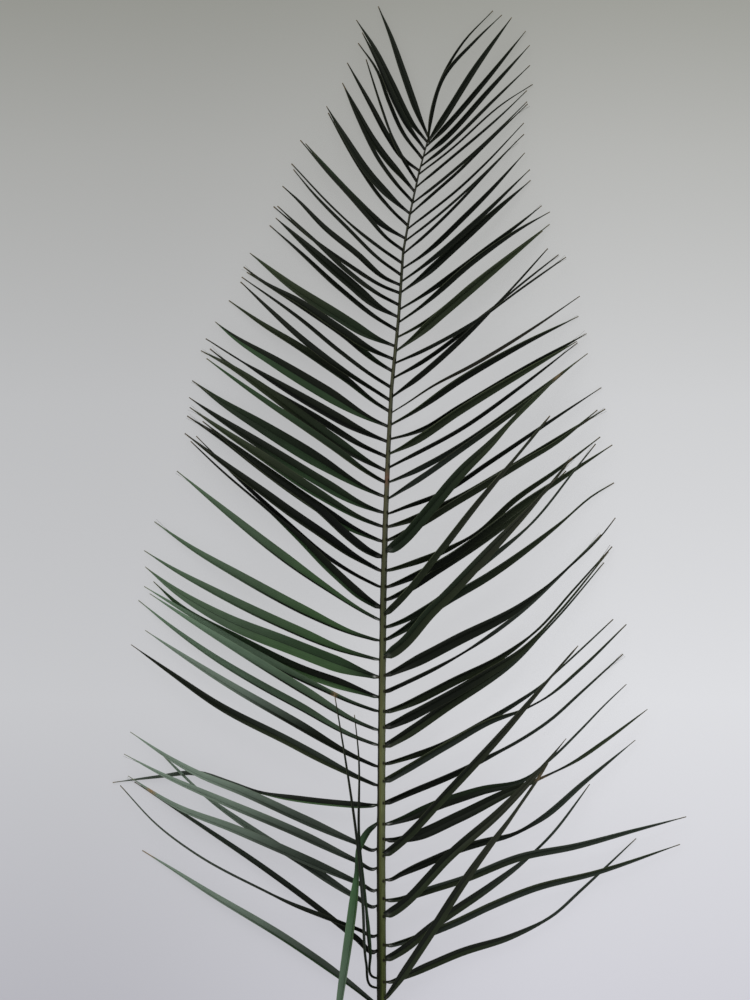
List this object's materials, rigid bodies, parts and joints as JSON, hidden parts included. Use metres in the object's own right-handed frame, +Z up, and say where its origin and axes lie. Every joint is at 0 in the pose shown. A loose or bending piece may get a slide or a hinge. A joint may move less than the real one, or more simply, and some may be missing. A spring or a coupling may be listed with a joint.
{
  "type": "preserved palm frond",
  "caption": "Cut, preserved palm frond lying flat: a tapering midrib with narrow folded leaflets down both sides and a bare stalk with a plain cut end.",
  "frame": {"origin": "on the surface the frond lies on, under the middle of its bounding box", "axes": "+Y runs along the midrib from the cut stalk to the top of the frond, +Z up, +X to the right seen from above with the stalk towards the viewer"},
  "size_m": [0.5762, 1.1272, 0.059],
  "materials": {
    "leaf": "dried, glycerine-preserved leaf with a slight sheen",
    "stalk": "smooth dried stalk, satin"
  },
  "bodies": {
    "root": {"palm_frond": "leaf"}
  },
  "joints": []
}
